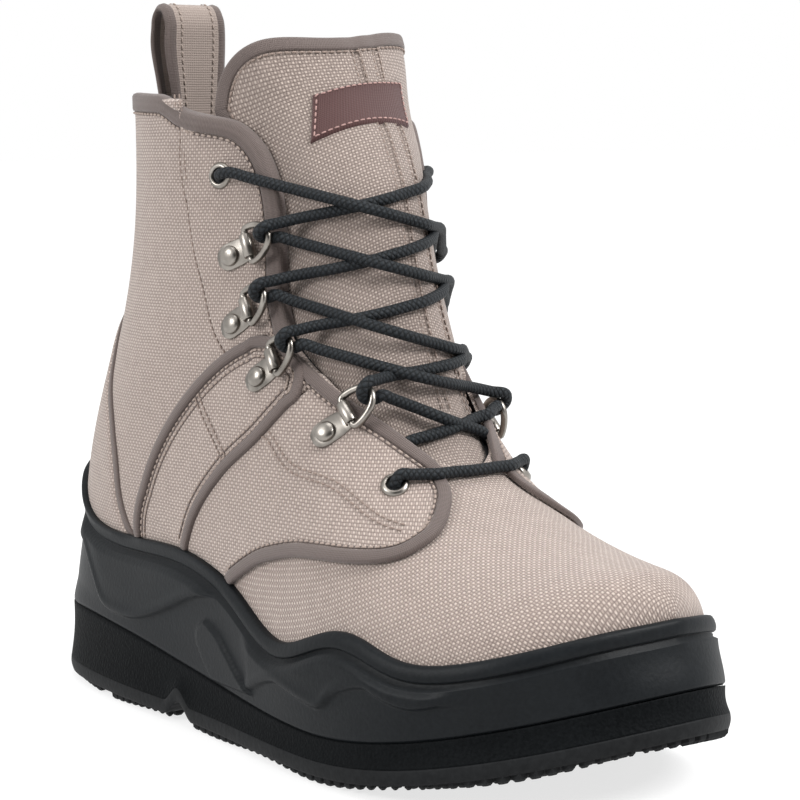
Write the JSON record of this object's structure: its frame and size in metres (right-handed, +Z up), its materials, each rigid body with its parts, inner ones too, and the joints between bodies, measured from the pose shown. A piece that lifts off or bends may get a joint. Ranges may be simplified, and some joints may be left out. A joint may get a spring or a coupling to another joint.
{
  "type": "wading boot",
  "caption": "Ankle-high wading boot with a chunky flared outsole, waved moulded rubber rand, padded tongue, D-ring lacing, heel pull loop and cloth overlays",
  "frame": {"origin": "middle of the heel's flat rest, on the floor", "axes": "+Z up, toe towards -Y, heel towards +Y, outer side of the right foot towards -X"},
  "size_m": [0.1249, 0.315, 0.2538],
  "materials": {
    "boot_cloth": "coarse plain weave, matt",
    "edge_tape": "fine ribbed tape, matt",
    "rand_rubber": "moulded, satin to matt",
    "sole_foam": "foamed, matt and faintly speckled",
    "tread_rubber": "moulded, matt",
    "lace_cord": "braided cord, matt",
    "nickel": "plated, slightly worn",
    "lining": "soft mesh, matt",
    "patch_cloth": "woven patch, matt"
  },
  "bodies": {
    "root": {"outsole": "tread_rubber", "midsole": "sole_foam", "rand": "rand_rubber", "upper": "boot_cloth", "insole": "lining", "tongue": "boot_cloth", "tongue_label": "patch_cloth", "backstay": "boot_cloth", "collar_tape": "edge_tape", "pull_loop": "edge_tape", "lace": "lace_cord", "outer_facing": "boot_cloth", "outer_saddle_strap": "boot_cloth", "outer_quarter": "boot_cloth", "outer_eyelet_top": "nickel", "outer_eyelet_low": "nickel", "outer_clip_1": "nickel", "outer_clip_2": "nickel", "outer_clip_3": "nickel", "outer_clip_4": "nickel", "outer_ring_1": "nickel", "outer_ring_2": "nickel", "outer_ring_3": "nickel", "outer_ring_4": "nickel", "inner_facing": "boot_cloth", "inner_saddle_strap": "boot_cloth", "inner_quarter": "boot_cloth", "inner_eyelet_top": "nickel", "inner_eyelet_low": "nickel", "inner_clip_1": "nickel", "inner_clip_2": "nickel", "inner_clip_3": "nickel", "inner_clip_4": "nickel", "inner_ring_1": "nickel", "inner_ring_2": "nickel", "inner_ring_3": "nickel", "inner_ring_4": "nickel"}
  },
  "joints": []
}
